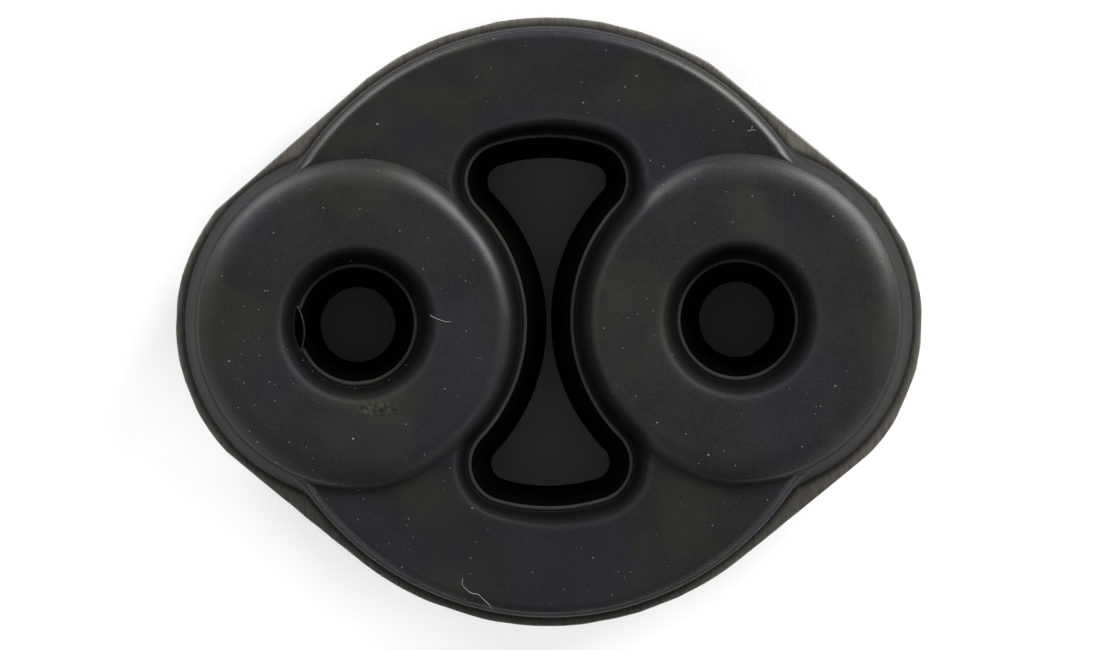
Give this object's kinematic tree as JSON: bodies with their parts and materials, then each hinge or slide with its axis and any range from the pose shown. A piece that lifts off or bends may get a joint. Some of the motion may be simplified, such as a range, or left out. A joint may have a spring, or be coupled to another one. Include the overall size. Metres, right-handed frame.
{
  "type": "exhaust hanger",
  "caption": "Moulded rubber exhaust hanger: a thick disc with a raised boss round each rod bore and an hourglass slot between them that lets it flex.",
  "frame": {"origin": "centre of the footprint, on the plane that the rear bosses rest on", "axes": "+X through the bores from left to right, +Y up along the slot, +Z from the rear to the front"},
  "size_m": [0.0934, 0.0762, 0.03],
  "materials": {
    "rubber": "matt moulded black"
  },
  "bodies": {
    "root": {"hanger_body": "rubber"}
  },
  "joints": []
}
